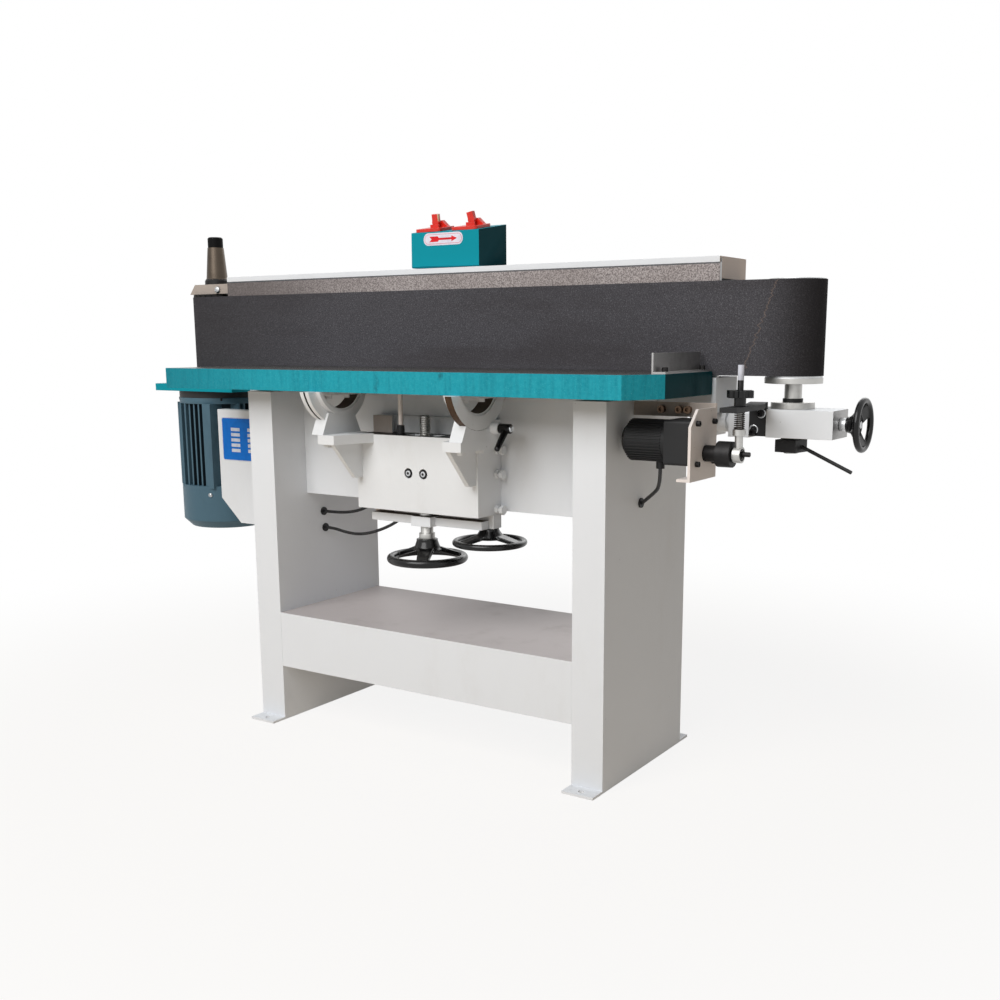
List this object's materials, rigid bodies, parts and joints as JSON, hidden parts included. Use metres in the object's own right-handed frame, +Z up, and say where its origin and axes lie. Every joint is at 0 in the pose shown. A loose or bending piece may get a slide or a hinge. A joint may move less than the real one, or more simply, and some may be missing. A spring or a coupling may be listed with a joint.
{
  "type": "edge sander",
  "caption": "Oscillating edge sander: a vertical belt on two drums over a tilting, lifting table on a sheet-steel stand, with a sanding spindle.",
  "frame": {"origin": "centre of the four floor anchor holes, on the floor", "axes": "+X along the belt towards the idler drum, +Y from the operator's table to the platen, +Z up"},
  "size_m": [2.048, 0.5628, 1.3001],
  "materials": {
    "abrasive": "cloth-backed abrasive",
    "aluminium": "turned",
    "black_paint": "satin black",
    "black_plastic": "gloss black",
    "brass": "machined",
    "dark_steel": "oiled, blackened",
    "graphite": "graphite cloth",
    "iron": "painted and machined",
    "plate": "printed sheet",
    "red_plastic": "glossy red",
    "rubber": "matt",
    "slate_paint": "slate enamel on a finned casting",
    "steel": "machined",
    "teal_casting": "teal enamel on a casting",
    "teal_paint": "hammered teal enamel",
    "white_paint": "semi-gloss off-white enamel",
    "zinc": "zinc plated"
  },
  "bodies": {
    "stand": {"left_leg": "white_paint", "right_leg": "white_paint", "shelf_panel": "white_paint", "fascia_panel": "white_paint", "top_beam": "white_paint", "platen_plate": "steel", "graphite_pad": "graphite", "belt_hood": "white_paint", "sanding_belt": "abrasive", "motor_bracket": "teal_paint", "motor_flange": "black_paint", "motor_frame": "slate_paint", "fan_cover": "slate_paint", "motor_guard": "white_paint", "top_bearing_bracket": "white_paint", "switch_box": "teal_paint", "switch_bases": "red_plastic", "sign_plates": "plate", "arm_pivot": "white_paint", "osc_bracket": "white_paint", "gear_motor": "black_paint", "slideway": "iron", "screw_bearer": "white_paint", "control_box": "white_paint", "cable_glands": "rubber", "stand_screws": "dark_steel", "motor_cable": "rubber", "control_cable": "rubber", "gear_motor_cable": "rubber"},
    "drive_roller": {"motor_rotor": "steel", "drive_drum": "aluminium", "drum_tyre": "rubber", "sanding_spindle": "aluminium"},
    "idler_arm": {"idler_arm": "white_paint", "arm_shaft": "white_paint", "lever_plate": "black_paint", "push_rod": "zinc", "rod_spring": "dark_steel"},
    "star_knob": {"star_knob": "black_plastic"},
    "crank": {"crank": "dark_steel"},
    "tension_slide": {"idler_post": "steel"},
    "idler_drum": {"idler_drum": "aluminium", "idler_bearings": "steel"},
    "tension_wheel": {"tension_handwheel": "black_plastic"},
    "clamp_lever": {"clamp_nut": "black_paint"},
    "knee": {"knee_saddle": "iron", "lift_nut": "brass", "table_brackets": "iron", "knee_screws": "dark_steel", "trunnion_cradles": "iron", "stop_rod": "steel"},
    "tilt_lever": {"tilt_lever": "black_plastic"},
    "lift_wheel": {"lift_screw": "steel", "lift_handwheel": "black_plastic"},
    "lock_wheel": {"lock_handwheel": "black_plastic"},
    "table": {"work_table": "teal_casting", "table_trunnions": "iron", "stop_angle": "steel"},
    "left_switch": {"left_switch": "red_plastic"},
    "right_switch": {"right_switch": "red_plastic"}
  },
  "joints": [
    {"name": "drive_spin", "type": "hinge", "parent": "stand", "child": "drive_roller", "pos_m": [-0.943, 0.108, 1], "axis": [0, 0, 1], "continuous": true},
    {"name": "arm_tilt", "type": "hinge", "parent": "stand", "child": "idler_arm", "pos_m": [0.7, 0.099, 0.811], "axis": [1, 0, 0], "range_deg": [-0.4, 0.4], "deforming": ["sanding_belt"]},
    {"name": "tension_turn", "type": "hinge", "parent": "idler_arm", "child": "tension_wheel", "pos_m": [0.94, 0.099, 0.811], "axis": [1, 0, 0], "range_deg": [-1350, 0]},
    {"name": "tension", "type": "slide", "parent": "idler_arm", "child": "tension_slide", "axis": [1, 0, 0], "range_m": [-0.015, 0]},
    {"name": "idler_spin", "type": "hinge", "parent": "tension_slide", "child": "idler_drum", "pos_m": [0.812, 0.099, 1], "axis": [0, 0, 1], "continuous": true},
    {"name": "clamp_turn", "type": "hinge", "parent": "tension_slide", "child": "clamp_lever", "pos_m": [0.812, 0.099, 0.76], "axis": [0, 0, 1], "range_deg": [-60, 60]},
    {"name": "crank_spin", "type": "hinge", "parent": "stand", "child": "crank", "pos_m": [0.75, -0.125, 0.7587], "axis": [1, 0, 0], "continuous": true},
    {"name": "knob_turn", "type": "hinge", "parent": "idler_arm", "child": "star_knob", "pos_m": [0.783, -0.125, 0.88], "axis": [0, 0, 1], "range_deg": [-360, 360]},
    {"name": "lift_turn", "type": "hinge", "parent": "stand", "child": "lift_wheel", "pos_m": [0, -0.14, 0.5], "axis": [0, 0, 1], "range_deg": [-288, 7200]},
    {"name": "knee_lift", "type": "slide", "parent": "stand", "child": "knee", "axis": [0, 0, 1], "range_m": [-0.004, 0.1]},
    {"name": "table_tilt", "type": "hinge", "parent": "knee", "child": "table", "pos_m": [0, -0.212, 0.9], "axis": [1, 0, 0], "range_deg": [0, 45]},
    {"name": "tilt_clamp", "type": "hinge", "parent": "knee", "child": "tilt_lever", "pos_m": [0.23, -0.16, 0.793], "axis": [1, 0, 0], "range_deg": [-75, 75]},
    {"name": "lock_turn", "type": "hinge", "parent": "stand", "child": "lock_wheel", "pos_m": [0.158, -0.104, 0.53], "axis": [0, 0, 1], "range_deg": [-180, 180]},
    {"name": "left_switch_rock", "type": "hinge", "parent": "stand", "child": "left_switch", "pos_m": [-0.1305, 0.09268, 1.27813], "axis": [0, 0.9868, 0.1618], "range_deg": [-20, 20]},
    {"name": "right_switch_rock", "type": "hinge", "parent": "stand", "child": "right_switch", "pos_m": [-0.0205, 0.09268, 1.27813], "axis": [0, 0.9868, 0.1618], "range_deg": [-20, 20]}
  ],
  "couplings": [
    {"joint": "idler_spin", "follows": "drive_spin", "ratio": 1.1452},
    {"joint": "tension_turn", "follows": "tension", "rad_per_m": 1570.8},
    {"joint": "lift_turn", "follows": "knee_lift", "rad_per_m": 1256.6}
  ]
}
